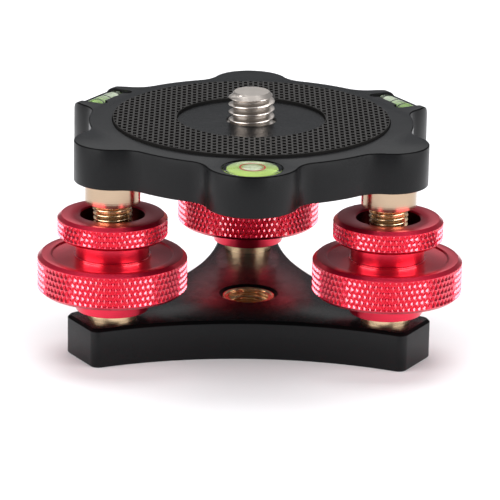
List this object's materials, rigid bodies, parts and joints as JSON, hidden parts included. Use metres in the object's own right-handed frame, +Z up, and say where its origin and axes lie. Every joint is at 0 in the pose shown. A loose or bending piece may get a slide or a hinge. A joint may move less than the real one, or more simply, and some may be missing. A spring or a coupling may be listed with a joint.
{
  "type": "leveling base",
  "caption": "Leveling base for a camera tripod: knurled wheels on threaded studs tilt a lobed top plate that carries a rubber ring, a camera screw and bubble levels.",
  "frame": {"origin": "centre of the tripod socket at the base plate's underside", "axes": "+Z up along the tripod socket and the camera screw, -Y towards the round level, +X to its right when it is seen from the front"},
  "size_m": [0.0868, 0.0898, 0.0521],
  "materials": {
    "black_anodised": "satin black anodised, turned and milled",
    "red_anodised": "bright red anodised with diamond knurled rims",
    "brass": "satin, turned, with cut threads",
    "steel": "satin turned stainless",
    "rubber": "matt, moulded with rows of small pits",
    "clear_acrylic": "clear and polished",
    "spirit": "yellow-green liquid with a bubble",
    "white_plastic": "matt white",
    "polymer": "smooth bearing plastic"
  },
  "bodies": {
    "base": {"base_plate": "black_anodised", "tripod_insert": "brass", "tube_screws": "steel", "thrust_washers": "polymer", "retaining_rings": "steel", "left_guide_tube": "brass", "right_guide_tube": "brass", "rear_guide_tube": "brass"},
    "left_wheel": {"left_adjusting_wheel": "red_anodised", "left_drive_nut": "brass"},
    "left_leg": {"left_stud": "brass"},
    "left_washer": {"left_lock_washer": "steel"},
    "left_lock": {"left_lock_wheel": "red_anodised", "left_lock_bush": "brass"},
    "right_wheel": {"right_adjusting_wheel": "red_anodised", "right_drive_nut": "brass"},
    "right_leg": {"right_stud": "brass"},
    "right_washer": {"right_lock_washer": "steel"},
    "right_lock": {"right_lock_wheel": "red_anodised", "right_lock_bush": "brass"},
    "rear_wheel": {"rear_adjusting_wheel": "red_anodised", "rear_drive_nut": "brass"},
    "rear_leg": {"rear_stud": "brass"},
    "rear_washer": {"rear_lock_washer": "steel"},
    "rear_lock": {"rear_lock_wheel": "red_anodised", "rear_lock_bush": "brass"},
    "left_cup": {"left_ball_cup": "polymer"},
    "right_cup": {"right_ball_cup": "polymer"},
    "plate": {"top_plate": "black_anodised", "grip_ring": "rubber", "camera_screw": "steel", "rear_ball_cup": "polymer", "left_socket_collar": "brass", "right_socket_collar": "brass", "rear_socket_collar": "brass", "bullseye_body": "clear_acrylic", "bullseye_liquid": "spirit", "bullseye_backing": "white_plastic", "left_vial": "clear_acrylic", "left_vial_liquid": "spirit", "right_vial": "clear_acrylic", "right_vial_liquid": "spirit"}
  },
  "joints": [
    {"name": "left_wheel_turn", "type": "hinge", "parent": "base", "child": "left_wheel", "pos_m": [-0.02806, -0.0162, 0], "axis": [0, 0, 1], "range_deg": [-900, 900]},
    {"name": "left_leg_lift", "type": "slide", "parent": "base", "child": "left_leg", "axis": [0, 0, 1], "range_m": [-0.0025, 0.0025]},
    {"name": "left_lock_rise", "type": "slide", "parent": "left_wheel", "child": "left_washer", "axis": [0, 0, 1], "range_m": [0, 0.001]},
    {"name": "left_lock_turn", "type": "hinge", "parent": "left_washer", "child": "left_lock", "pos_m": [-0.02806, -0.0162, 0], "axis": [0, 0, 1], "range_deg": [0, 360]},
    {"name": "right_wheel_turn", "type": "hinge", "parent": "base", "child": "right_wheel", "pos_m": [0.02806, -0.0162, 0], "axis": [0, 0, 1], "range_deg": [-900, 900]},
    {"name": "right_leg_lift", "type": "slide", "parent": "base", "child": "right_leg", "axis": [0, 0, 1], "range_m": [-0.0025, 0.0025]},
    {"name": "right_lock_rise", "type": "slide", "parent": "right_wheel", "child": "right_washer", "axis": [0, 0, 1], "range_m": [0, 0.001]},
    {"name": "right_lock_turn", "type": "hinge", "parent": "right_washer", "child": "right_lock", "pos_m": [0.02806, -0.0162, 0], "axis": [0, 0, 1], "range_deg": [0, 360]},
    {"name": "rear_wheel_turn", "type": "hinge", "parent": "base", "child": "rear_wheel", "pos_m": [0, 0.0324, 0], "axis": [0, 0, 1], "range_deg": [-900, 900]},
    {"name": "rear_leg_lift", "type": "slide", "parent": "base", "child": "rear_leg", "axis": [0, 0, 1], "range_m": [-0.0025, 0.0025]},
    {"name": "rear_lock_rise", "type": "slide", "parent": "rear_wheel", "child": "rear_washer", "axis": [0, 0, 1], "range_m": [0, 0.001]},
    {"name": "rear_lock_turn", "type": "hinge", "parent": "rear_washer", "child": "rear_lock", "pos_m": [0, 0.0324, 0], "axis": [0, 0, 1], "range_deg": [0, 360]},
    {"name": "left_tilt", "type": "hinge", "parent": "base", "child": "left_cup", "pos_m": [0.01403, 0.0081, 0.0384], "axis": [-0.5, 0.866, 0], "range_deg": [-2.95, 2.95]},
    {"name": "right_tilt", "type": "hinge", "parent": "left_cup", "child": "right_cup", "pos_m": [-0.01403, 0.0081, 0.0384], "axis": [-0.5, -0.866, 0], "range_deg": [-2.95, 2.95]},
    {"name": "rear_tilt", "type": "hinge", "parent": "right_cup", "child": "plate", "pos_m": [0, -0.0162, 0.0384], "axis": [1, 0, 0], "range_deg": [-2.95, 2.95]}
  ],
  "couplings": [
    {"joint": "left_wheel_turn", "follows": "left_leg_lift", "rad_per_m": -6283.1},
    {"joint": "left_lock_turn", "follows": "left_lock_rise", "rad_per_m": 6283.1},
    {"joint": "left_tilt", "follows": "left_leg_lift", "rad_per_m": 20.576},
    {"joint": "right_wheel_turn", "follows": "right_leg_lift", "rad_per_m": -6283.1},
    {"joint": "right_lock_turn", "follows": "right_lock_rise", "rad_per_m": 6283.1},
    {"joint": "right_tilt", "follows": "right_leg_lift", "rad_per_m": 20.576},
    {"joint": "rear_wheel_turn", "follows": "rear_leg_lift", "rad_per_m": -6283.1},
    {"joint": "rear_lock_turn", "follows": "rear_lock_rise", "rad_per_m": 6283.1},
    {"joint": "rear_tilt", "follows": "rear_leg_lift", "rad_per_m": 20.576}
  ]
}
